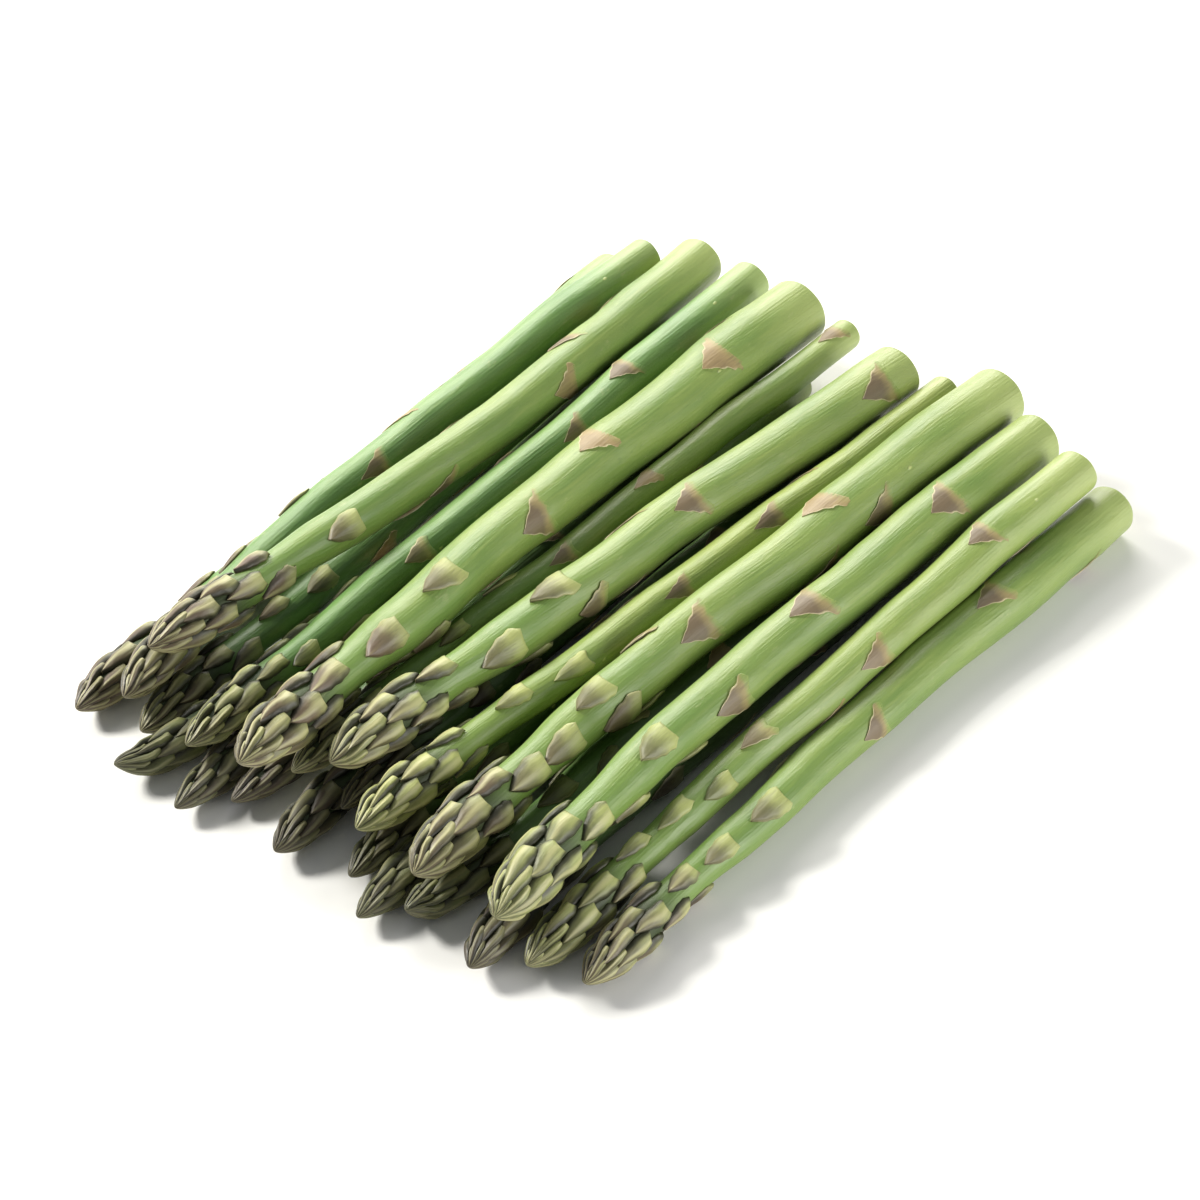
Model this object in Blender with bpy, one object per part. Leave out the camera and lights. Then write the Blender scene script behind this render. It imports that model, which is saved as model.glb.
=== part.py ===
"""A bundle of asparagus: twenty-two green spears lying as one loose heap.

The heap is in its own frame: +X runs along the spears from the heads to the cut ends, +Y runs across
them and +Z is up.  The origin is on the ground, under the middle of the heap.  Eleven spears lie on
the ground side by side.  Eleven more are laid over them one after another, each at the lowest height
where it clears everything already there, so the order of the tables below matters.
"""
import math
from typing import NamedTuple

import bmesh
import bpy
import numpy as np
from mathutils import Vector

MM = 0.001

SIDES = 12
FLAT_SHARE = math.cos(math.pi / SIDES)  # how far a flat side is from the centre, as a share of the radius
CLEARANCE = 0.35 * MM                   # air between two spears that rest on one another
EVEN_CUT_END = 40 * MM                  # this much of the stem, from its cut end, keeps one thickness
NECK_FROM_TIP = 54 * MM                 # where the stem is thinnest, just behind the head
WIDEST_FROM_TIP = 30 * MM               # where the head is fullest
ARCH_FULLNESS = 2.2                     # the two powers that shape the closing head
ARCH_BLUNTNESS = 0.62
STEM_STEP = 30 * MM                     # the most there is between two rings of a stem
HEAD_STATIONS = (0.75, 0.52, 0.32, 0.16, 0.06, 0.015)  # rings of the closing head, as shares of 30 mm
HOOK_LENGTH = 60 * MM                   # the stretch over which a hooked tip swings aside
SAMPLES = 80                            # places along a spear where its neighbours are felt for
STEEPEST = 0.20                         # the steepest slope tried when a spear is laid down
SHARP_DEGREES = 50                      # only the rim of the cut end is sharper than this

SKIN_ROUGHNESS = 0.45
SKIN_COLOURS = {
    "green": (0.19, 0.27, 0.075),
    "blue_green": (0.15, 0.26, 0.10),
    "yellow_green": (0.27, 0.33, 0.09),
    "dark_green": (0.09, 0.15, 0.05),
}


class Spear(NamedTuple):
    """One spear: where it lies on the plan, and how thick it is, all in millimetres."""

    cut_x: float      # the middle of the cut end
    cut_y: float
    tip_x: float      # the point of the head, before its hook
    tip_y: float
    cut: float        # thickness at the cut end
    neck: float       # thickness behind the head
    head: float       # thickness of the head at its fullest
    bow: float = 0    # how far the middle bends towards +Y
    hook: float = 0   # how far the tip swings towards +Y
    skin: str = "green"


# The spears on the ground, from the back edge of the heap to the front edge.
GROUND_SPEARS = (
    Spear(138, 99, -116, 90, 13.6, 11.0, 13.0, bow=-1, skin="blue_green"),
    Spear(124, 77, -112, 70, 13.0, 10.0, 13.0, skin="blue_green"),
    Spear(120, 62, -127, 54, 12.6, 9.6, 12.0, hook=10, skin="dark_green"),
    Spear(126, 48, -128, 43, 12.0, 9.0, 11.4, skin="dark_green"),
    Spear(118, 34, -117, 30, 11.4, 9.0, 11.0, hook=3, skin="dark_green"),
    Spear(124, 19, -125, 13, 12.6, 9.6, 12.6, hook=-2, skin="dark_green"),
    Spear(122, -8, -120, -8, 12.4, 9.6, 11.6, hook=-2, skin="dark_green"),
    Spear(118, -22, -130, -21, 12.4, 9.6, 11.6, skin="dark_green"),
    Spear(124, -37, -123, -37, 12.6, 10.0, 12.6, hook=7, skin="dark_green"),
    Spear(116, -53, -127, -49, 12.6, 10.0, 13.0, hook=-6, skin="dark_green"),
    Spear(127, -90, -114, -79, 15.6, 10.4, 12.6, bow=1, hook=-2),
)

# The spears laid over them, in the order in which they are laid down.
UPPER_SPEARS = (
    Spear(116, 5, -108, 4, 11.0, 9.0, 9.6, skin="dark_green"),
    Spear(138, 86, -112, 79, 13.0, 10.0, 13.0, bow=4, hook=-4, skin="blue_green"),
    Spear(146, 51, -116, 49, 13.2, 9.4, 12.0, skin="blue_green"),
    Spear(141, 12, -107, 20, 9.8, 8.0, 11.0, bow=1),
    Spear(130, -13, -105, 8, 17.4, 13.4, 15.0, bow=1),
    Spear(134, -28, -115, -7, 11.0, 9.6, 13.0, bow=-1, hook=-2, skin="yellow_green"),
    Spear(121, -81, -118, -66, 13.8, 10.0, 13.0, bow=2),
    Spear(145, 70, -102, 74, 16.2, 12.0, 14.0, bow=-6),
    Spear(140, 29, -123, 23, 20.2, 14.0, 15.6, bow=3),
    Spear(128, -63, -120, -54, 17.4, 12.4, 15.6, bow=3, hook=-4),
    Spear(136, -45, -120, -29, 19.4, 12.4, 16.0, bow=2, hook=-3),
)


def remove_everything():
    """Empty the scene."""
    for thing in list(bpy.data.objects):
        bpy.data.objects.remove(thing, do_unlink=True)


def length_of(spear):
    """The straight length from the cut end to the tip, in metres."""
    return math.hypot(spear.tip_x - spear.cut_x, spear.tip_y - spear.cut_y) * MM


def plan_of(spear, along):
    """The centre line seen from above, as x and y at each distance along from the cut end."""
    share = along / length_of(spear)
    cut_end = np.array((spear.cut_x, spear.cut_y)) * MM
    tip = np.array((spear.tip_x, spear.tip_y)) * MM
    way = (tip - cut_end) / np.linalg.norm(tip - cut_end)
    sideways = np.array((way[1], -way[0]))
    hooked = np.clip(1 - (length_of(spear) - along) / HOOK_LENGTH, 0, 1)
    aside = spear.bow * MM * 4 * share * (1 - share) + spear.hook * MM * hooked ** 2
    return cut_end + share[:, None] * (tip - cut_end) + aside[:, None] * sideways


def open_radius_of(spear, along):
    """The radius at each distance along, as if the head never closed.

    The stem keeps its thickness near the cut end, then thins evenly down to the neck.  From there the
    head swells smoothly to its fullest place and stays there.
    """
    from_tip = length_of(spear) - along
    stem_run = length_of(spear) - NECK_FROM_TIP - EVEN_CUT_END
    thinning = np.clip((along - EVEN_CUT_END) / stem_run, 0, 1)
    stem = spear.cut + (spear.neck - spear.cut) * thinning
    swell = np.clip((NECK_FROM_TIP - from_tip) / (NECK_FROM_TIP - WIDEST_FROM_TIP), 0, 1)
    return (stem + (spear.head - spear.neck) * swell * swell * (3 - 2 * swell)) * MM / 2


def radius_of(spear, along):
    """The radius at each distance along: the head closes on the tip as a pointed arch."""
    closing = np.clip((length_of(spear) - along) / WIDEST_FROM_TIP, 0, 1)
    return open_radius_of(spear, along) * (1 - (1 - closing) ** ARCH_FULLNESS) ** ARCH_BLUNTNESS


def stations_of(spear):
    """The distances along from the cut end where a ring goes."""
    neck = length_of(spear) - NECK_FROM_TIP
    widest = length_of(spear) - WIDEST_FROM_TIP
    count = math.ceil((neck - EVEN_CUT_END) / STEM_STEP) + 1
    stem = list(np.linspace(EVEN_CUT_END, neck, count))
    swelling = [(neck + widest) / 2, widest]
    closing = [length_of(spear) - share * WIDEST_FROM_TIP for share in HEAD_STATIONS]
    return np.array([0.0] + stem + swelling + closing)


def height_over(neighbour, spots, radii):
    """How high a centre must be at each spot to clear one neighbour; nothing where it lies beside it."""
    corners = neighbour["plan"]
    steps = corners[1:] - corners[:-1]
    to_spots = spots[:, None, :] - corners[None, :-1, :]
    share = np.clip((to_spots * steps).sum(axis=2) / (steps * steps).sum(axis=1), 0, 1)
    apart = np.linalg.norm(to_spots - share[:, :, None] * steps, axis=2)
    radius = neighbour["radii"][:-1] + share * np.diff(neighbour["radii"])
    height = neighbour["heights"][:-1] + share * np.diff(neighbour["heights"])
    reach = radii[:, None] + radius + CLEARANCE
    over = height + np.sqrt(np.maximum(reach ** 2 - apart ** 2, 0))
    return np.where(apart < reach, over, 0).max(axis=1)


def lay_down(spear, placed, on_ground):
    """Add a spear to those placed, with the height of its centre line along it.

    Straight lines of many slopes are each lowered until they clear what is underneath.  A spear on the
    ground follows the lowest of them at each place.  A spear over others is stiff and takes one line,
    the one that lets the middle of its weight sink lowest.
    """
    along = np.union1d(np.linspace(0, length_of(spear), SAMPLES), stations_of(spear))
    radii = radius_of(spear, along)
    plan = plan_of(spear, along)
    needed = open_radius_of(spear, along) * FLAT_SHARE
    for neighbour in placed:
        needed = np.maximum(needed, height_over(neighbour, plan, radii))
    slopes = np.linspace(-STEEPEST, STEEPEST, 801)
    starts = (needed[None, :] - slopes[:, None] * along[None, :]).max(axis=1)
    if on_ground:
        heights = (starts[:, None] + slopes[:, None] * along[None, :]).min(axis=0)
    else:
        balance = (along * radii ** 2).sum() / (radii ** 2).sum()
        best = np.argmin(starts + slopes * balance)
        heights = starts[best] + slopes[best] * along
    placed.append({"spear": spear, "along": along, "plan": plan, "radii": radii, "heights": heights})


def ring(centre, way, radius):
    """The corners of a ring square to the centre line, with one flat side down."""
    side = way.cross(Vector((0, 0, 1))).normalized()
    up = side.cross(way)
    corners = []
    for index in range(SIDES):
        angle = 2 * math.pi * (index + 0.5) / SIDES
        corners.append(centre + radius * (math.cos(angle) * side + math.sin(angle) * up))
    return corners


def spear_mesh(name, laid):
    """A closed mesh of one spear: a flat cut end, rings along the stem and the head, and a point."""
    spear = laid["spear"]
    stations = np.append(stations_of(spear), length_of(spear))
    plan = plan_of(spear, stations)
    heights = np.interp(stations, laid["along"], laid["heights"])
    radii = radius_of(spear, stations)
    centres = [Vector((x, y, z)) for (x, y), z in zip(plan, heights)]
    shape = bmesh.new()
    rings = []
    for index in range(len(centres) - 1):
        way = (centres[index + 1] - centres[max(index - 1, 0)]).normalized()
        corners = ring(centres[index], way, float(radii[index]))
        rings.append([shape.verts.new(corner) for corner in corners])
    tip = shape.verts.new(centres[-1])
    shape.faces.new(rings[0])
    for near, far in zip(rings, rings[1:]):
        for index in range(SIDES):
            after = (index + 1) % SIDES
            shape.faces.new((near[index], near[after], far[after], far[index]))
    for index in range(SIDES):
        shape.faces.new((rings[-1][index], rings[-1][(index + 1) % SIDES], tip))
    bmesh.ops.recalc_face_normals(shape, faces=shape.faces)
    bmesh.ops.triangulate(shape, faces=shape.faces)
    mesh = bpy.data.meshes.new(name)
    shape.to_mesh(mesh)
    shape.free()
    mesh.shade_smooth()
    mesh.set_sharp_from_angle(angle=math.radians(SHARP_DEGREES))
    return mesh


def skin_material(name):
    """The plain skin of a spear in one of its greens."""
    material = bpy.data.materials.new(name)
    material.use_nodes = True
    shader = material.node_tree.nodes["Principled BSDF"]
    shader.inputs["Base Color"].default_value = (*SKIN_COLOURS[name], 1)
    shader.inputs["Roughness"].default_value = SKIN_ROUGHNESS
    shader.inputs["Metallic"].default_value = 0
    return material


def centre_over_origin(spears):
    """Move all the spears together, so that the middle of their box stands over the origin."""
    corners = np.array([corner.co for spear in spears for corner in spear.data.vertices])
    middle = (corners.min(axis=0) + corners.max(axis=0)) / 2
    for spear in spears:
        spear.location = (-middle[0], -middle[1], 0)


def build():
    """Lay down every spear and make its object."""
    remove_everything()
    placed = []
    for spear in GROUND_SPEARS:
        lay_down(spear, placed, on_ground=True)
    for spear in UPPER_SPEARS:
        lay_down(spear, placed, on_ground=False)
    skins = {name: skin_material(name) for name in SKIN_COLOURS}
    spears = []
    for number, laid in enumerate(placed, start=1):
        name = f"spear_{number:02d}"
        mesh = spear_mesh(name, laid)
        mesh.materials.append(skins[laid["spear"].skin])
        spears.append(bpy.data.objects.new(name, mesh))
        bpy.context.scene.collection.objects.link(spears[-1])
    centre_over_origin(spears)


build()
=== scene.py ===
"""The looks of a loose bundle of asparagus: twenty-two green spears, each grown as one piece.

Every spear is a stem with a cut end, triangular scale leaves pressed to it, and a head of plump
leaves that wind round it and close on the tip.  Lengths are in metres unless a name or a comment
says otherwise.
"""
import math

import bmesh
import bpy
import numpy as np
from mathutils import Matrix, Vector


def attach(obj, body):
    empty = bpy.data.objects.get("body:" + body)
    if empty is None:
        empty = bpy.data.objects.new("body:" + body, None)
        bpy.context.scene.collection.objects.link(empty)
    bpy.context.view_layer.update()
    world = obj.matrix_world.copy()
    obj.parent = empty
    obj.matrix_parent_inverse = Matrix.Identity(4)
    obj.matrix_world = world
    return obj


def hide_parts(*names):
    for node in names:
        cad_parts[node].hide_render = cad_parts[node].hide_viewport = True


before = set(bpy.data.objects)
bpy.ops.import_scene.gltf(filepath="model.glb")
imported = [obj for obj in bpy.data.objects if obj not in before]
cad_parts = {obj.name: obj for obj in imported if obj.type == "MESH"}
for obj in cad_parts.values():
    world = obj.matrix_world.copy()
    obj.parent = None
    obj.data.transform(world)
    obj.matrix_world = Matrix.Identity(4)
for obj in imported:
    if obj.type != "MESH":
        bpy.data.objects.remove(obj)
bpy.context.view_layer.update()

MM = 0.001
GROUND = 0.03 * MM                  # the lowest that any part of a spear lies
GOLDEN_TURN = math.radians(137.5)   # from each leaf to the next round a spear

# the plain spear of the frame, and the thickness read from it
CAD_SIDES = 12                      # corners in each of its rings
RING_GAP = 0.8 * MM                 # the least from one ring to the next, measured from the tip
FINE_STEPS = 700                    # places in the table of the centre line
ROUND_SHARE = 0.985                 # a round stem's radius, as a share of that to the corners
WIDEST_FROM_TIP = 30 * MM           # where a head is fullest
ARCH_FULLNESS, ARCH_BLUNTNESS = 2.2, 0.60   # the two powers that shape the closing head
CORE_SHARE = 0.77                   # how much of a head's radius is stem; the rest is its leaves
CORE_FROM, CORE_TO = 66 * MM, 38 * MM   # where the stem thins into that core
TIP_CURL = 11 * MM                  # how much of a curled tip bends

# the stem
STEM_ROUND, STEM_LONG = 56, 190     # its grid
STEM_CROWDING = 0.92                # below 1 its rings are closer together towards the tip
STEM_SHORT = 0.6 * MM               # how far its last ring stays from the tip
SWELLING, SWELLING_MM = 0.06, 7     # at each leaf: a share of the radius, and how far it reaches
FACE_RINGS = np.array([0.25, 0.5, 0.72, 0.86, 0.93])   # on the cut face, as shares of its radius
FACE_FLAT, FACE_CORNER = 0.93, 0.07   # shares of the stem's radius: flat face and round corner
CORNER_START, CORNER_RINGS = 0.12, 6   # the share of the round corner where its rings start
CORNER_LONG = 1.3 * MM              # how far along the stem the round corner reaches
FACE_DISH = 0.25 * MM               # how far the middle of the cut face has sunk in

# where the leaves stand: millimetres from the tip, and turns
HEAD_END = 52.5                     # leaves with a base beyond this stand on the stem
SPIRAL_STEM, SPIRAL_HEAD = 56.0, 50.0   # where the two spirals of leaves start
LAST_LEAF = 2.2                     # and the head's ends
CHOSEN_GAP = 10                     # the least between a chosen leaf and one of the spiral
NEAR_SIDE = math.radians(50), math.radians(205)   # where only chosen leaves stand

# a leaf
LEAF_LENGTH = 14.5                  # in millimetres, on a spear of the middle thickness
MIDDLE_RADIUS = 7.3 * MM            # such a spear's radius where its head is fullest
FULL_LIFT = 4.0 * MM                # where a head is thinner than this, its leaves lie flatter
LEAF_LONG, LEAF_ABOVE, LEAF_BELOW = 16, 17, 4   # grid: along, round its upper and lower halves

# the pattern map
SKIN_MAP_SHARE = 0.34               # how much of its width the stem takes
LEAF_COLUMNS = 5                    # leaves side by side in the rest of it
MAP_FILL = 0.94                     # how much of its cell each leaf fills


class Look:
    """How one spear differs from the others."""

    def __init__(self, slot, tone, blush, start, leaves=(), curl=(0, 0)):
        self.slot = slot      # the finish of its skin
        self.tone = tone      # 0 bluish green, 1 yellowish green
        self.blush = blush    # how purple-brown its head is
        self.start = start    # where its spiral of head leaves starts, in degrees
        self.leaves = leaves  # chosen leaves on its stem: millimetres from the tip, degrees round
        self.curl = curl      # how far its very tip bends sideways and upwards, in millimetres


LOOKS = {
    "spear_01": Look("blue_green_skin", 0.15, 0.85, 20),
    "spear_02": Look("blue_green_skin", 0.10, 0.55, 75),
    "spear_03": Look("dark_green_skin", 0.35, 0.25, 130, curl=(1.2, 2.2)),
    "spear_04": Look("dark_green_skin", 0.30, 0.60, 200),
    "spear_05": Look("dark_green_skin", 0.40, 0.95, 310),
    "spear_06": Look("dark_green_skin", 0.25, 0.70, 50),
    "spear_07": Look("dark_green_skin", 0.35, 0.50, 170),
    "spear_08": Look("dark_green_skin", 0.45, 0.35, 260),
    "spear_09": Look("dark_green_skin", 0.60, 0.20, 95, curl=(-1.0, 2.4)),
    "spear_10": Look("dark_green_skin", 0.30, 0.75, 350),
    "spear_11": Look("green_skin", 0.40, 0.60, 15, ((180, 90), (120, 155), (75, 120), (55, 120))),
    "spear_12": Look("dark_green_skin", 0.40, 0.70, 140, curl=(-1.6, 1.2)),
    "spear_13": Look("blue_green_skin", 0.30, 0.70, 230, ((115, 140), )),
    "spear_14": Look("blue_green_skin", 0.50, 0.35, 300, ((195, 90), (165, 135), (95, 135))),
    "spear_15": Look("green_skin", 0.55, 0.50, 80, ((240, 90), (150, 95), (110, 125), (65, 110))),
    "spear_16": Look("green_skin", 0.65, 0.45, 10,
                     ((220, 135), (140, 120), (95, 185), (85, 95), (60, 150))),
    "spear_17": Look("yellow_green_skin", 0.80, 0.10, 120,
                     ((165, 125), (125, 135), (80, 130), (60, 95))),
    "spear_18": Look("green_skin", 0.75, 0.30, 210,
                     ((195, 95), (140, 150), (95, 95), (75, 135), (60, 90))),
    "spear_19": Look("green_skin", 0.45, 0.75, 330, ((165, 170), (70, 140))),
    "spear_20": Look("green_skin", 0.60, 0.65, 160,
                     ((215, 110), (160, 85), (125, 145), (85, 110), (57, 130))),
    "spear_21": Look("green_skin", 0.35, 0.20, 60, ((200, 110), (140, 95), (100, 160), (70, 110))),
    "spear_22": Look("green_skin", 0.70, 0.60, 280,
                     ((190, 170), (175, 70), (115, 130), (80, 185), (75, 95), (57, 145))),
}


def smooth(value, low, high):
    """0 up to low, 1 from high, and a smooth S between them: 3x² − 2x³."""
    x = np.clip((value - low) / (high - low), 0, 1)
    return x * x * (3 - 2 * x)


def curve_through(knots, values, at):
    """A smooth curve through the knots: cubic Hermite pieces, whose slope at each knot is that of
    its neighbours.
    """
    slopes = np.gradient(values, knots, axis=0)
    index = np.clip(np.searchsorted(knots, at) - 1, 0, len(knots) - 2)
    gap = knots[index + 1] - knots[index]
    x = (at - knots[index]) / gap
    if np.ndim(values) > 1:
        x, gap = x[:, None], gap[:, None]
    return ((1 + 2 * x) * (1 - x) ** 2 * values[index] + x * (1 - x) ** 2 * gap * slopes[index]
            + x * x * (3 - 2 * x) * values[index + 1] - x * x * (1 - x) * gap * slopes[index + 1])


class Spear:
    """A spear's centre line and thickness, read from the rings of its CAD node.

    A smooth curve runs through the middles of the rings.  Slow sine waves bend it a little more,
    less towards both ends, and a curled tip bends by a smooth S.  The radius follows the rings up
    to where the head is fullest, and from there closes as a blunt arch.
    """

    def __init__(self, node, look, random):
        merged = bmesh.new()
        merged.from_mesh(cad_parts[node].data)
        bmesh.ops.remove_doubles(merged, verts=merged.verts, dist=0.01 * MM)
        corners = np.array([corner.co for corner in merged.verts])
        merged.free()
        tip = corners[corners[:, 0].argmin()]
        away = np.linalg.norm(corners - tip, axis=1)
        order = np.argsort(away)
        gaps = np.flatnonzero(np.diff(away[order]) > RING_GAP) + 1
        rings = [ring for ring in np.split(corners[order], gaps) if len(ring) == CAD_SIDES]
        rings = np.array(rings)[::-1]
        centres = np.vstack([rings.mean(axis=1), tip])
        radii = np.linalg.norm(rings - centres[:-1, None], axis=2).mean(axis=1)
        along = np.append(0, np.cumsum(np.linalg.norm(np.diff(centres, axis=0), axis=1)))
        self.length = along[-1]
        fine = self.fine = np.linspace(0, self.length, FINE_STEPS)
        line = curve_through(along, centres, fine)
        swing = random.uniform(0, 2 * np.pi, 4)
        inside = smooth(fine, 0, 50 * MM) * smooth(-fine, -self.length, 60 * MM - self.length)
        sway = np.sin(fine / (21 * MM) + swing[0]) + 0.5 * np.sin(fine / (9 * MM) + swing[1])
        line[:, 1] += 0.55 * MM * inside * sway
        line[:, 2] += 0.22 * MM * inside * np.sin(fine / (17 * MM) + swing[2])
        hooked = smooth(fine, self.length - TIP_CURL, self.length) ** 1.5
        line[:, 1:] += hooked[:, None] * np.array(look.curl) * MM
        self.swing = random.uniform(0, 2 * np.pi, 6)
        self.swellings = np.zeros((0, 2))   # distance along and turn of each leaf on the stem
        way = np.gradient(line, fine, axis=0)
        way /= np.linalg.norm(way, axis=1)[:, None]
        side = np.cross(way, (0, 0, 1))
        side /= np.linalg.norm(side, axis=1)[:, None]
        self.line, self.way, self.side, self.up = line, way, side, np.cross(side, way)
        from_tip = (self.length - along[:-1])[::-1]
        last_open = len(radii) - np.searchsorted(from_tip, WIDEST_FROM_TIP - MM)
        open_radius = np.interp(fine, along[:last_open], radii[:last_open])
        open_radius = np.convolve(np.pad(open_radius, 12, mode="edge"), np.ones(25) / 25, "valid")
        closing = np.clip((self.length - fine) / WIDEST_FROM_TIP, 0, 1)
        arch = (1 - (1 - closing) ** ARCH_FULLNESS) ** ARCH_BLUNTNESS
        self.radius = open_radius * arch * ROUND_SHARE

    def at(self, table, along):
        """The value of one of the fine tables at each distance along, in any shape of array."""
        flat = np.ravel(along)
        if table.ndim == 1:
            return np.interp(flat, self.fine, table).reshape(np.shape(along))
        columns = [np.interp(flat, self.fine, column) for column in table.T]
        return np.stack(columns, axis=-1).reshape(np.shape(along) + (3,))

    def outline(self, along):
        """The spear's full radius at each distance along."""
        return self.at(self.radius, along)

    def core(self, along):
        """The stem's own radius: the full one on the stem, less under the leaves of the head."""
        thinned = smooth(self.length - along, CORE_TO, CORE_FROM)
        return self.outline(along) * (CORE_SHARE + (1 - CORE_SHARE) * thinned)

    def skin(self, along, turn):
        """The stem's radius at a place on it: the core's, with slow sine waves round and along it,
        and at each leaf a low swelling that falls off as a bell.
        """
        core, swing = self.core(along), self.swing
        wave = (0.016 * np.sin(2 * turn + swing[0] + along / (70 * MM))
                + 0.010 * np.sin(3 * turn + swing[1] - along / (55 * MM))
                + 0.005 * np.sin(7 * turn + swing[2])
                + 0.007 * np.sin(along / (13 * MM) + swing[3]))
        swelling = np.zeros_like(core)
        for place, way in self.swellings:
            near = np.exp(-((along - place) / (SWELLING_MM * MM)) ** 2)
            swelling += SWELLING * near * (0.5 + 0.5 * np.cos(turn - way)) ** 2
        return core * (1 + smooth(self.length - along, 20 * MM, 60 * MM) * (wave + swelling))

    def point(self, along, turn, radius):
        """A place on the spear: the centre line, plus the radius in the direction that has turned
        by the turn from sideways towards up, and never under the ground.
        """
        out = (np.cos(turn)[..., None] * self.at(self.side, along)
               + np.sin(turn)[..., None] * self.at(self.up, along))
        place = self.at(self.line, along) + np.asarray(radius)[..., None] * out
        place[..., 2] = np.maximum(place[..., 2], GROUND)
        return place


class Shells:
    """Closed tubes gathered into one mesh, each a grid of rings with a pole at both ends."""

    def __init__(self):
        self.points, self.corners, self.sizes, self.spots, self.finishes = [], [], [], [], []
        self.notes = {}
        self.count = 0

    def add(self, rings, poles, notes, cells, material):
        """Adds tubes.

        rings is tube × along × round × 3, and poles is tube × 2 × 3.  notes holds values by name,
        each on the rings and on the poles.  cells holds each tube's place on the map: left, bottom,
        width and height.
        """
        tubes, long, around = rings.shape[:3]
        each = long * around + 2
        points = np.concatenate([rings.reshape(tubes, -1, 3), poles], axis=1)
        i, j = np.meshgrid(np.arange(long - 1), np.arange(around), indexing="ij")
        near, far = i * around, (i + 1) * around
        beside = (j + 1) % around
        quads = np.stack([near + j, far + j, far + beside, near + beside], axis=-1).reshape(-1, 4)
        quad_spots = [np.stack([j + b, i + 1 + a], axis=-1)
                      for a, b in ((0, 0), (1, 0), (1, 1), (0, 1))]
        quad_spots = np.stack(quad_spots, axis=2)
        r = np.arange(around)
        beside = (r + 1) % around
        last = (long - 1) * around
        low = np.stack([np.full(around, long * around), r, beside], axis=-1)
        high = np.stack([np.full(around, long * around + 1), last + beside, last + r],
                        axis=-1)

        def fan(pole, ring, first, second):
            """Places on the map of the triangles between a pole and the ring next to it."""
            trio = ((r + 0.5, pole), (first, ring), (second, ring))
            return np.stack([np.stack([x, 0 * r + y], axis=-1) for x, y in trio], axis=1)

        corners = np.concatenate([quads.ravel(), low.ravel(), high.ravel()])
        spots = [quad_spots, fan(0, 1, r, r + 1), fan(long + 1, long, r + 1, r)]
        spots = np.concatenate([part.reshape(-1, 2) for part in spots]) / (around, long + 1)
        sizes = np.concatenate([np.full(len(quads), 4), np.full(2 * around, 3)])
        shift = self.count + each * np.arange(tubes)
        self.points.append(points.reshape(-1, 3))
        self.corners.append((corners[None] + shift[:, None]).ravel())
        self.sizes.append(np.tile(sizes, tubes))
        cells = np.asarray(cells, float)
        placed = cells[:, None, :2] + spots[None] * cells[:, None, 2:]
        self.spots.append(placed.reshape(-1, 2))
        self.finishes.append(np.full(len(sizes) * tubes, material))
        for name, (on_rings, on_poles) in notes.items():
            tail = on_rings.shape[3:]
            flat = np.concatenate([on_rings.reshape((tubes, -1) + tail), on_poles], axis=1)
            self.notes.setdefault(name, []).append(flat.reshape((-1,) + tail))
        self.count += tubes * each

    def mesh(self, name):
        """The mesh, with its map and its notes as attributes, and faces pointing outwards."""
        made = bpy.data.meshes.new(name)
        points, corners = np.concatenate(self.points), np.concatenate(self.corners)
        sizes, finishes = np.concatenate(self.sizes), np.concatenate(self.finishes)
        starts = np.append(0, np.cumsum(sizes)[:-1])
        made.vertices.add(len(points))
        made.vertices.foreach_set("co", points.astype(np.float32).ravel())
        made.loops.add(len(corners))
        made.loops.foreach_set("vertex_index", corners.astype(np.int32))
        made.polygons.add(len(sizes))
        made.polygons.foreach_set("loop_start", starts.astype(np.int32))
        made.polygons.foreach_set("material_index", finishes.astype(np.int32))
        made.polygons.foreach_set("use_smooth", np.ones(len(sizes), bool))
        spots = made.uv_layers.new(name="OFBake")
        spots.data.foreach_set("uv", np.concatenate(self.spots).astype(np.float32).ravel())
        for note, parts in self.notes.items():
            values = np.concatenate(parts).astype(np.float32)
            kind, key = ("FLOAT_VECTOR", "vector") if values.ndim > 1 else ("FLOAT", "value")
            made.attributes.new(note, kind, "POINT").data.foreach_set(key, values.ravel())
        made.update(calc_edges=True)
        made.validate()
        return made


def grain_of(along, turn, radius):
    """A place on the spear as if it were straight, so that a pattern follows its bends."""
    return np.stack([along, radius * np.cos(turn), radius * np.sin(turn)], axis=-1)


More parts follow.
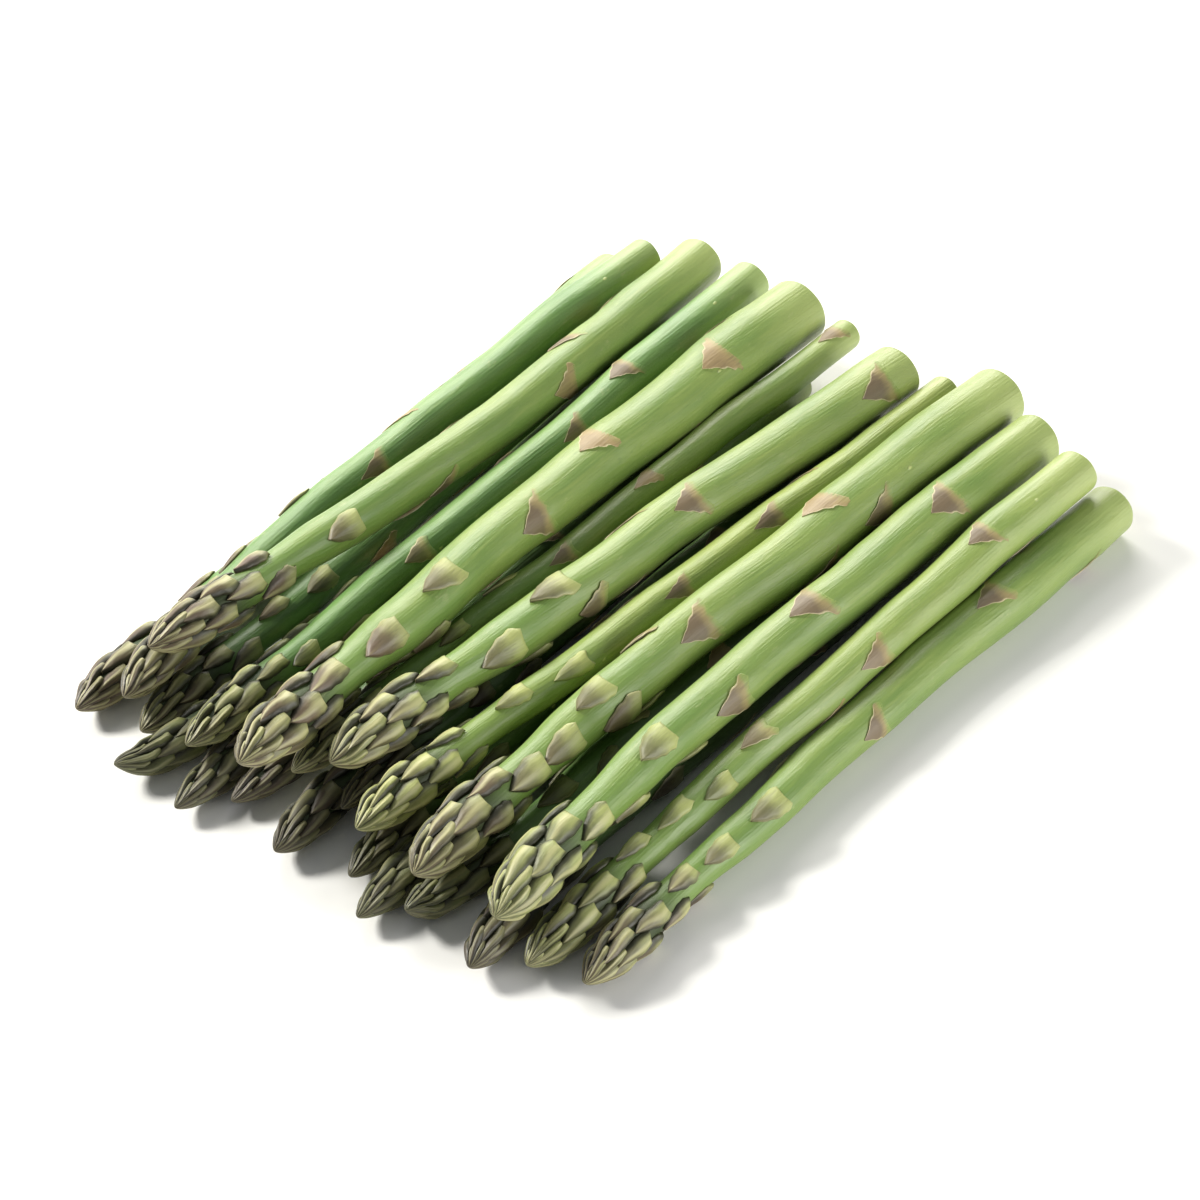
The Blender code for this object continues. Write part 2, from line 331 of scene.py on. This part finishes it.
def add_stem(shells, spear, look, random):
    """The stem: a circle carried along the centre line, of the radius that the skin has there.

    The cut face is a shallow dish of flat rings, slanted a little, and its corner is a quarter
    of a circle.  At the other end the stem closes inside the head.
    """
    face, corner = len(FACE_RINGS), len(FACE_RINGS) + CORNER_RINGS
    quarter = np.linspace(CORNER_START, 1, CORNER_RINGS) * np.pi / 2
    share = np.linspace(0, 1, STEM_LONG) ** STEM_CROWDING
    body = CORNER_LONG + (spear.length - CORNER_LONG - STEM_SHORT) * share
    along = np.concatenate([np.zeros(face), CORNER_LONG * (1 - np.cos(quarter)), body[1:]])
    turn = np.linspace(0, 2 * np.pi, STEM_ROUND, endpoint=False)
    along, turn = np.meshgrid(along, turn, indexing="ij")
    radius = spear.skin(along, turn)
    radius[face:corner] *= (FACE_FLAT + FACE_CORNER * np.sin(quarter))[:, None]
    radius[:face] *= (FACE_RINGS * FACE_FLAT)[:, None]
    slant = random.uniform(-0.06, 0.06)
    tilt = slant * radius * np.cos(turn + spear.swing[4]) * smooth(-along, -12 * MM, 0)
    zero = np.zeros_like(along)
    dish = zero.copy()
    dish[:face] = FACE_DISH * (1 - FACE_RINGS[:, None] ** 2)
    where = along + tilt + dish
    rings = spear.point(np.maximum(where, 0.0), turn, radius)
    rings += np.minimum(where, 0.0)[..., None] * spear.way[0]
    poles = np.stack([spear.line[0] + FACE_DISH * spear.way[0],
                      spear.line[-1] - 0.5 * STEM_SHORT * spear.way[-1]])
    cut = zero.copy()
    cut[:face + 1] = 1
    depth = radius / spear.core(zero)
    length_mm = spear.length / MM
    notes = {
        "grain": (grain_of(along, turn, radius)[None], np.zeros((1, 2, 3))),
        "from_tip": ((spear.length - along)[None] / MM, np.array([[length_mm, 0]])),
        "from_cut": (along[None] / MM, np.array([[0, length_mm]])),
        "cut_face": (cut[None], np.array([[1.0, 0.0]])),
        "depth": (depth[None], np.zeros((1, 2))),
    }
    plain = {"up_leaf": 0, "across": 0, "plump": 0, "chance": 0,
             "tone": look.tone, "blush": look.blush}
    for name, number in plain.items():
        notes[name] = (zero[None] + number, np.zeros((1, 2)) + number)
    shells.add(rings[None], poles[None], notes, [(0, 0, SKIN_MAP_SHARE - 0.01, 1)], 0)


def leaf_places(spear, look, random):
    """Where each leaf's base is, as millimetres from the tip and a turn.

    Those chosen come first, then a spiral down the rest of the stem, then the closer spiral of the
    head.  Each next leaf has turned by the golden angle, and the gap to it grows with the distance
    from the tip and with its square.  Where leaves are chosen, the stem's spiral keeps to the far
    side.
    """
    places = [(from_tip, math.radians(turn)) for from_tip, turn in look.leaves]
    chosen = list(places)
    top, turn = spear.length / MM - 6, math.radians(look.start)
    at = SPIRAL_STEM
    while at < top:
        if chosen:
            hidden = turn % (2 * math.pi)
            if NEAR_SIDE[0] < hidden < NEAR_SIDE[1]:
                hidden += math.pi
            if all(abs(at - other) > CHOSEN_GAP for other, _ in chosen):
                places.append((at, hidden + random.uniform(-0.2, 0.2)))
        else:
            places.append((at, turn + random.uniform(-0.15, 0.15)))
        at += (0.75 + 0.045 * at + 0.0006 * at * at) * random.uniform(0.85, 1.2)
        turn += GOLDEN_TURN
    at, turn = SPIRAL_HEAD, math.radians(look.start)
    while at > LAST_LEAF:
        turn -= GOLDEN_TURN
        places.append((at, turn + random.uniform(-0.08, 0.08)))
        at -= 0.46 + 0.018 * at + 0.0011 * at * at
    return np.array(places)


def planform(up, plump, strip):
    """Half a leaf's width along it, 1 at the widest, which is at the two corners of its base.

    On the stem its sides run nearly straight to a sharp point; in the head they bulge, as powers of
    the share of the way to the point; at the tip of the head they stay side by side longest.
    """
    x = np.clip((up - 0.07) / 0.93, 0, 1)
    opening = 0.70 + 0.30 * smooth(up, 0, 0.07 + 0.16 * plump)
    triangle = 1 - x ** 1.2
    shield = (1 - x ** 2.6) ** 0.95
    ribbon = (1 - x ** 3.0) ** 0.9
    return opening * ((1 - plump) * triangle + plump * ((1 - strip) * shield + strip * ribbon))


def add_leaves(shells, spear, look, places, random):
    """The leaves: closed shells in rings, wrapped round the spear.

    A leaf's ring is a lens as wide as its planform there.  Its upper half is a dome from the edge's
    height to the middle's; its lower half tucks in under the edge and sinks into the stem.  On the
    stem the middle rises as a smooth S towards the point.  In the head it rises at once, stays
    plump, and has a few cosine ribs; its edges rise as a bell at the two corners of the base.
    """
    count = len(places)
    base_mm, turn0 = places[:, 0], places[:, 1]

    def vary(spread):
        """A share near 1 for each leaf."""
        return random.uniform(1 - spread, 1 + spread, count)

    def each(values):
        """One value per leaf, ready to meet the grid along and round it."""
        return values[:, None, None]

    # one value for each leaf
    widest = spear.outline(np.array(spear.length - WIDEST_FROM_TIP))
    long = LEAF_LENGTH * vary(0.12) * (widest / MIDDLE_RADIUS) ** 0.6
    strip = smooth(-base_mm, -24, -13)
    long = np.minimum(long, np.where(base_mm < 18, 1.03, 0.96) * base_mm) * MM
    centre_mm = np.where(base_mm > HEAD_END, base_mm + 0.45 * long / MM, base_mm)
    start = np.maximum(spear.length - centre_mm * MM, 1.5 * MM)
    plump = smooth(-centre_mm, -124, -72)
    closed = smooth(-centre_mm, -52, -36)
    around = spear.outline(start)
    half = around * (0.86 - 0.22 * plump - 0.14 * closed - 0.23 * strip) * vary(0.14)
    lift = (0.38 * MM * (1 - plump) + 0.34 * around * plump) * vary(0.18)
    twist = random.uniform(-0.14, 0.14, count) * (1 + strip) + 0.30 * smooth(-centre_mm, -30, -10)
    wave = random.uniform(-0.09, 0.09, count) * closed
    chance = random.uniform(0, 1, count)

    # the grid: up the leaf, and round its ring from one edge over the top to the other and back
    up = (np.linspace(0.0, 1.0, LEAF_LONG) ** 1.25 * 0.975 + 0.012)[None, :, None]
    ring = np.concatenate([np.linspace(0, np.pi, LEAF_ABOVE),
                           np.linspace(np.pi, 2 * np.pi, LEAF_BELOW + 2)[1:-1]])[None, None, :]
    top, under = np.clip(np.sin(ring), 0, 1), np.clip(-np.sin(ring), 0, 1)
    across = np.cos(ring) * (1 - 0.25 * np.sqrt(under))
    p, q, luck = each(plump), each(strip), each(chance)

    # heights over the stem
    belly = smooth(up, -0.02, 0.06) * np.where(up < 0.4, 0.80 + 0.20 * np.sin(np.pi * up / 0.8),
                                               1 - 0.40 * smooth(up, 0.4, 1))
    pressed = smooth(up, 0.0, 0.5) * (1 - 0.3 * smooth(up, 0.75, 1.0))
    middle = each(lift) * ((1 - p) * pressed + p * belly)
    ears = np.exp(-(up / 0.13) ** 2)
    edge = middle * ((1 - p) * 1.10 + p * (0.16 + 0.40 * ears) * (1 - 0.5 * q))
    lean = each(lift) * p * (0.12 + 0.30 * q) * across * smooth(up, 0.05, 0.3)
    ribs = 0.17 * MM * p * (0.35 + 0.65 * q) * np.cos(across * (6.5 + 2.5 * luck) + 6 * luck)
    ribs = ribs * smooth(up, 0.10, 0.35) * smooth(1 - up, 0, 0.15)
    height = (edge + (middle - edge) * top ** (0.9 + 0.2 * q)
              - (edge + 0.5 * MM) * np.sqrt(under) + ribs * top + lean * (1 - under))

    # places along and round the spear
    ear_reach = (0.14 - 0.06 * p) * (1 - q)
    along = each(start) + each(long) * (up + ear_reach * (1 - across ** 2) * (1 - up) ** 2)
    jags = (0.05 + 0.03 * (1 - p)) * np.sin(up * (17 + 9 * luck) + 40 * luck)
    wide = each(half) * planform(up, p, q) * (1 + jags * smooth(1 - up, 0, 0.2))
    shrink = np.clip(spear.outline(along) / FULL_LIFT, 0, 1)
    swing = wide / np.maximum(spear.core(along) + height * shrink, 0.4 * MM)
    turn = (each(turn0) + np.clip(swing, 0, 1.15) * across + each(twist) * up ** 2
            + each(wave) * np.sin(2 * np.pi * up))
    radius = np.maximum(spear.skin(along, turn) + height * shrink, 0.02 * MM)
    rings = spear.point(along, turn, radius)

    # the two closed ends
    ends = np.stack([start + 0.08 * long, start + long], axis=1)
    end_turn = np.stack([turn0, turn0 + twist], axis=1)
    end_height = np.stack([0 * lift - 0.4 * MM,
                           lift * (0.77 * (1 - plump) + 0.60 * plump) - 0.2 * MM], axis=1)
    end_shrink = np.clip(spear.outline(ends) / FULL_LIFT, 0, 1)
    end_radius = np.maximum(spear.skin(ends, end_turn) + end_height * end_shrink, 0.02 * MM)
    poles = spear.point(ends, end_turn, end_radius)

    full, two = np.ones_like(along), np.ones((count, 2))
    notes = {
        "grain": (grain_of(along, turn, radius), grain_of(ends, end_turn, end_radius)),
        "from_tip": ((spear.length - along) / MM, (spear.length - ends) / MM),
        "from_cut": (along / MM, ends / MM),
        "cut_face": (0 * full, 0 * two),
        "depth": (full, two),
        "up_leaf": (up * full, np.tile([0.0, 1.0], (count, 1))),
        "across": (across * full, 0 * two),
        "plump": (p * full, plump[:, None] * two),
        "chance": (luck * full, chance[:, None] * two),
        "tone": (full * look.tone, two * look.tone),
        "blush": (full * look.blush, two * look.blush),
    }
    index = np.arange(count)
    wide_cell, high_cell = (1 - SKIN_MAP_SHARE) / LEAF_COLUMNS, 1 / math.ceil(count / LEAF_COLUMNS)
    cells = np.stack([SKIN_MAP_SHARE + (index % LEAF_COLUMNS) * wide_cell,
                      (index // LEAF_COLUMNS) * high_cell,
                      np.full(count, MAP_FILL * wide_cell), np.full(count, MAP_FILL * high_cell)],
                     axis=1)
    shells.add(rings, poles, notes, cells, 1)


class Value:
    """A number, colour or vector that a material works out; arithmetic on it adds Math nodes."""

    def __init__(self, maker, socket):
        self.maker, self.socket = maker, socket

    def _math(self, operation, first, second=None):
        """The result of one Math node."""
        return self.maker.node("ShaderNodeMath", {"operation": operation}, {0: first, 1: second})

    def __add__(self, other): return self._math("ADD", self, other)
    def __radd__(self, other): return self._math("ADD", other, self)
    def __sub__(self, other): return self._math("SUBTRACT", self, other)
    def __rsub__(self, other): return self._math("SUBTRACT", other, self)
    def __mul__(self, other): return self._math("MULTIPLY", self, other)
    def __rmul__(self, other): return self._math("MULTIPLY", other, self)
    def __abs__(self): return self._math("ABSOLUTE", self)


class Maker:
    """Builds one material's nodes."""

    def __init__(self, name):
        self.material = bpy.data.materials.new(name)
        self.material.use_nodes = True
        self.tree = self.material.node_tree
        self.surface = self.tree.nodes["Principled BSDF"]

    def node(self, kind, settings, sockets, out=0):
        """Adds a node, sets it up, then gives its sockets numbers, colours or links."""
        made = self.tree.nodes.new(kind)
        for key, setting in settings.items():
            setattr(made, key, setting)
        for key, given in sockets.items():
            socket = made.inputs[key]
            if isinstance(given, Value):
                self.tree.links.new(given.socket, socket)
            elif given is not None:
                socket.default_value = (*given, 1) if socket.type == "RGBA" else given
        return Value(self, made.outputs[out])

    def note(self, name, out=2):
        """One of the mesh's own attributes, as a number, or from output 1 as a vector."""
        return self.node("ShaderNodeAttribute", {"attribute_name": name}, {}, out)

    def step(self, value, low, high):
        """0 at low, 1 at high, and a smooth S between them."""
        return self.node("ShaderNodeMapRange", {"interpolation_type": "SMOOTHSTEP"},
                         {0: value, 1: low, 2: high, 3: 0.0, 4: 1.0})

    def blend(self, mask, first, second):
        """The first colour where the mask is 0, the second where it is 1."""
        return self.node("ShaderNodeMix", {"data_type": "RGBA"}, {0: mask, 6: first, 7: second}, 2)

    def stretched(self, place, lengthwise):
        """The place with its distance along the spear scaled; below 1 a pattern is longer."""
        return self.node("ShaderNodeVectorMath", {"operation": "MULTIPLY"},
                         {0: place, 1: (lengthwise, 1.0, 1.0)})

    def noise(self, place, scale, detail, roughness=0.5):
        """Soft noise from 0 to 1."""
        return self.node("ShaderNodeTexNoise", {}, {"Vector": place, "Scale": scale,
                                                    "Detail": detail, "Roughness": roughness})

    def spots(self, place, scale, randomness):
        """The distance to the nearest of many scattered points."""
        return self.node("ShaderNodeTexVoronoi", {}, {"Vector": place, "Scale": scale,
                                                      "Randomness": randomness})

    def bump(self, height, strength, distance, under=None):
        """A normal that follows the height, over another normal if one is given."""
        return self.node("ShaderNodeBump", {}, {"Strength": strength, "Distance": distance,
                                                "Height": height, "Normal": under})

    def finish(self, colour, roughness, normal, coat_weight, coat_roughness):
        """Joins the worked-out values to the surface and sets its plain ones."""
        inputs = self.surface.inputs
        for name, given in (("Base Color", colour), ("Roughness", roughness), ("Normal", normal)):
            self.tree.links.new(given.socket, inputs[name])
        inputs["Specular IOR Level"].default_value = 0.5
        inputs["Coat Weight"].default_value = coat_weight
        inputs["Coat Roughness"].default_value = coat_roughness
        return self.material


def shade(red, green, blue):
    """A screen colour, 0 to 255, as the linear colour a shader takes."""
    shares = (red / 255, green / 255, blue / 255)
    return tuple(c / 12.92 if c <= 0.04 else ((c + 0.055) / 1.055) ** 2.4 for c in shares)


def darker(colour, share):
    """A share of a linear colour."""
    return tuple(share * c for c in colour)


def skin_material(name, young, deep, bright):
    """Stem skin.

    Greens run lengthwise in soft streaks, deeper towards the head and paler at the cut, with wax
    bloom, dull scuffs, fine fibres and a few pale specks.  The core inside the head is painted dark
    as painted shade between the leaves.  The cut face is cream with darker bundles of fibre and a
    green rim.
    """
    m = Maker(name)
    grain = m.note("grain", 1)
    from_tip, from_cut, cut = m.note("from_tip"), m.note("from_cut"), m.note("cut_face")
    tone, depth = m.note("tone"), m.note("depth")
    clouds = m.noise(m.stretched(grain, 0.22), 150, 3)
    streaks = m.noise(m.stretched(grain, 0.05), 620, 3, 0.6)
    mottle = m.noise(m.stretched(grain, 0.5), 900, 3, 0.6)
    colour = m.blend(m.step(clouds, 0.25, 0.75), deep, young)
    colour = m.blend(m.step(tone + (clouds - 0.5) * 0.3, 0.45, 1.1) * 0.5, colour, bright)
    colour = m.blend(m.step(streaks, 0.5, 0.8) * 0.40, colour, bright)
    colour = m.blend(m.step(mottle, 0.55, 0.8) * 0.25, colour, darker(deep, 0.80))
    near_head = 1 - m.step(from_tip + (clouds - 0.5) * 50, 40.0, 120.0)
    colour = m.blend(near_head * 0.55, colour, m.blend(0.5, deep, shade(92, 134, 56)))
    # painted shade: the stem's core under the head's leaves is darkened as the shade between them;
    # the same mask also roughens it
    painted_shade_core = 1 - m.step(from_tip, 24.0, 42.0)
    colour = m.blend(painted_shade_core * 0.9, colour, shade(44, 52, 30))
    near_cut = 1 - m.step(from_cut + (streaks - 0.5) * 16, 2.0, 34.0)
    colour = m.blend(near_cut * 0.45, colour, shade(176, 186, 118))
    speck = 1 - m.step(m.spots(m.stretched(grain, 0.55), 80, 1.0), 0.02, 0.05)
    colour = m.blend(speck * 0.6, colour, shade(200, 208, 136))
    scuff = m.noise(m.stretched(grain, 0.35), 300, 4, 0.7)
    colour = m.blend(m.step(scuff, 0.60, 0.72) * 0.30, colour, shade(172, 176, 126))
    colour = m.blend(m.step(1 - scuff, 0.62, 0.74) * 0.35, colour, darker(deep, 0.7))
    # the cut face
    bundles = 1 - m.step(m.spots(grain, 900, 0.8), 0.18, 0.36)
    flesh = m.blend(bundles * 0.55, shade(206, 206, 150), shade(140, 150, 84))
    flesh = m.blend(m.step(depth, 0.78, 0.93), flesh, shade(116, 134, 62))
    flesh = m.blend(m.step(m.noise(grain, 400, 3), 0.5, 0.8) * 0.4, flesh, shade(168, 148, 98))
    colour = m.blend(m.step(cut, 0.2, 0.9), colour, flesh)
    # gloss and fine relief
    bloom = m.noise(m.stretched(grain, 0.3), 260, 4, 0.6)
    roughness = 0.33 + bloom * 0.22 + cut * 0.2 + painted_shade_core * 0.3
    fibres = m.noise(m.stretched(grain, 0.03), 1900, 2)
    normal = m.bump(fibres + bloom * 1.5 + scuff * 1.5 + speck * 2.0, 0.38, 0.5 * MM)
    normal = m.bump(bundles * cut, 0.5, 0.4 * MM, normal)
    return m.finish(colour, roughness, normal, coat_weight=0.25, coat_roughness=0.32)


def leaf_material(name, deep, bright, light):
    """Leaf skin.

    On the stem it is green at the base and turns mauve-brown at the point, with a cream edge; some
    leaves are drier.  In the head it is yellow-green where it is plump and olive or brown beyond,
    with lengthwise veins and darker at the tip; painted shade darkens its creases and the bases of
    its leaves, and a painted highlight lightens the tops of its ridges.  light is the share of the
    head's colours that it keeps: below 1 it darkens them with painted shade, most in the spears
    that lie below.
    """
    m = Maker(name)
    grain = m.note("grain", 1)
    up, across, plump = m.note("up_leaf"), m.note("across"), m.note("plump")
    chance, tone, blush = m.note("chance"), m.note("tone"), m.note("blush")
    from_tip = m.note("from_tip")
    clouds = m.noise(m.stretched(grain, 0.4), 420, 3, 0.6)
    veins = m.noise(m.stretched(grain, 0.08), 1500, 2, 0.6)
    cloudy = clouds - 0.5
    aside = abs(across)

    def with_painted_shade(red, green, blue):
        """A colour of the head, scaled by its light share, which below 1 is painted shade."""
        return darker(shade(red, green, blue), light)

    # on the stem
    base = m.blend(clouds, deep, bright)
    flat = m.blend(m.step(up + cloudy * 0.30, 0.02, 0.22), base, shade(150, 136, 92))
    mauve = m.step(up - aside * 0.10 + cloudy * 0.3, 0.14, 0.42)
    flat = m.blend(mauve, flat, shade(112, 97, 74))
    flat = m.blend(m.step(chance, 0.70, 0.80) * 0.7, flat, shade(160, 138, 96))
    flat = m.blend(m.step(veins, 0.5, 0.75) * 0.35, flat, shade(92, 79, 62))
    hem = m.step(aside, 0.84, 0.97) * m.step(up, 0.15, 0.4)
    flat = m.blend(hem * 0.8, flat, shade(206, 196, 156))
    # in the head
    closed = 1 - m.step(from_tip, 34.0, 58.0)
    olive = m.step(up + cloudy * 0.4, 0.20, 0.70)
    head = m.blend(olive, with_painted_shade(162, 170, 102), with_painted_shade(116, 122, 76))
    brown = m.blend(m.step(up + cloudy * 0.4, 0.10, 0.55), with_painted_shade(152, 150, 106), with_painted_shade(102, 83, 68))
    blushed = m.step(blush * 0.70 + chance * 0.35 + (up - 0.5) * 0.3, 0.25, 0.90)
    head = m.blend(blushed, head, brown)
    near = 1 - m.step(from_tip + (chance - 0.5) * 14, 6.0, 46.0)
    dusky = m.blend(m.step(blush, 0.4, 0.9), with_painted_shade(98, 96, 66), with_painted_shade(94, 80, 62))
    head = m.blend(near * (0.25 + blush * 0.45), head, dusky)
    head = m.blend(m.step(tone, 0.75, 0.9) * 0.35, head, with_painted_shade(168, 164, 92))
    head = m.blend(m.step(veins, 0.50, 0.76) * 0.35, head, with_painted_shade(80, 78, 54))
    # painted highlight: the tops of the closed head's leaves are lightened where light catches them
    painted_ridge_highlight = 1 - m.step(aside, 0.05, 0.42)
    head = m.blend(painted_ridge_highlight * closed * 0.50, head, with_painted_shade(204, 200, 148))
    # painted shade: the base of each head leaf is darkened as the shade in the crevice where it
    # meets the stem
    head = m.blend((1 - m.step(up, 0.0, 0.08)) * 0.6, head, shade(60, 70, 38))
    # painted shade: the sides of the closed head's leaves are darkened as the shade in the creases
    # between them
    head = m.blend(m.step(aside, 0.58, 0.94) * closed * 0.90, head, shade(34, 36, 23))
    pale_edge = m.step(aside, 0.88, 0.99) * (1 - closed)
    head = m.blend(pale_edge * 0.25, head, shade(190, 186, 140))
    colour = m.blend(m.step(plump, 0.15, 0.85), flat, head)
    normal = m.bump(veins + clouds * 0.8, 0.35, 0.5 * MM)
    return m.finish(colour, 0.42 + clouds * 0.18, normal, coat_weight=0.15, coat_roughness=0.40)


# each finish: its young, deep and bright greens, and the share of its head's colours that it keeps,
# which below 1 darkens the head with painted shade
SKINS = {
    "green_skin": (shade(130, 151, 76), shade(108, 135, 66), shade(156, 170, 94), 0.97),
    "blue_green_skin": (shade(114, 148, 80), shade(94, 131, 70), shade(142, 168, 98), 0.84),
    "yellow_green_skin": (shade(139, 158, 76), shade(115, 139, 66), shade(164, 176, 94), 1.10),
    # the spears that lie below: darker greens, and heads at under half brightness, partly their own
    # colour and partly painted shade
    "dark_green_skin": (shade(92, 120, 60), shade(66, 92, 46), shade(112, 135, 72), 0.46),
}
materials = {slot: (skin_material(slot + "_stem", young, deep, bright),
                    leaf_material(slot + "_leaves", deep, bright, light))
             for slot, (young, deep, bright, light) in SKINS.items()}

for number, (node, look) in enumerate(LOOKS.items(), start=1):
    random = np.random.default_rng(4100 + number)
    spear = Spear(node, look, random)
    places = leaf_places(spear, look, random)
    on_stem = places[places[:, 0] > HEAD_END]
    middles = spear.length - (on_stem[:, 0] + SWELLING_MM) * MM
    spear.swellings = np.stack([middles, on_stem[:, 1]], axis=1)
    shells = Shells()
    add_stem(shells, spear, look, random)
    add_leaves(shells, spear, look, places, random)
    mesh = shells.mesh(node + "_grown")
    for material in materials[look.slot]:
        mesh.materials.append(material)
    piece = bpy.data.objects.new(node + "_grown", mesh)
    bpy.context.scene.collection.objects.link(piece)
    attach(piece, "root")
    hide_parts(node)

# the floor, the light and the camera
FAR = 3   # metres from the middle to the floor's edges
floor_mesh = bpy.data.meshes.new("floor")
floor_mesh.from_pydata([(-FAR, -FAR, 0), (FAR, -FAR, 0), (FAR, FAR, 0), (-FAR, FAR, 0)], [],
                       [(0, 1, 2, 3)])
pale = Maker("pale_floor")
pale.surface.inputs["Base Color"].default_value = (0.86, 0.86, 0.85, 1)
pale.surface.inputs["Roughness"].default_value = 0.9
floor_mesh.materials.append(pale.material)
floor = bpy.data.objects.new("floor", floor_mesh)
bpy.context.scene.collection.objects.link(floor)


LIT_MIDDLE = (-0.008, -0.004, 0.0125)       # of the heap, where the lights aim
SEEN_MIDDLE = (-0.00805, -0.00402, 0.0125)  # and where the camera looks


def add_light(name, place, size, power, colour):
    """A square soft light at a place, turned to the middle of the heap."""
    lamp = bpy.data.lights.new(name, "AREA")
    lamp.shape, lamp.size, lamp.energy, lamp.color = "SQUARE", size, power, colour
    holder = bpy.data.objects.new(name, lamp)
    holder.location = place
    away = Vector(place) - Vector(LIT_MIDDLE)
    holder.rotation_euler = away.to_track_quat("Z", "Y").to_euler()
    bpy.context.scene.collection.objects.link(holder)


add_light("window", (0.80, 0.76, 0.68), 0.9, 18, (1.0, 0.97, 0.90))
add_light("left", (-0.35, 1.12, 0.86), 0.35, 31, (1.0, 0.975, 0.91))
add_light("fill", (0.25, -1.45, 0.42), 1.0, 24, (1.0, 0.98, 0.95))

world = bpy.data.worlds.new("studio")
bpy.context.scene.world = world
world.use_nodes = True
sky = world.node_tree.nodes["Background"]
sky.inputs["Color"].default_value = (0.95, 0.98, 1.0, 1)
sky.inputs["Strength"].default_value = 0.24

AZIMUTH, ELEVATION, DISTANCE = math.radians(-53), math.radians(40), 0.936
LENS_MM, FILM_MM = 101, 36
back = Vector((math.sin(AZIMUTH) * math.cos(ELEVATION), -math.cos(AZIMUTH) * math.cos(ELEVATION),
               math.sin(ELEVATION)))
lens = bpy.data.cameras.new("camera")
lens.lens, lens.sensor_width = LENS_MM, FILM_MM
camera = bpy.data.objects.new("camera", lens)
camera.location = Vector(SEEN_MIDDLE) + DISTANCE * back
camera.rotation_euler = back.to_track_quat("Z", "Y").to_euler()
bpy.context.scene.collection.objects.link(camera)
bpy.context.scene.camera = camera
bpy.context.scene.view_settings.view_transform = "Standard"
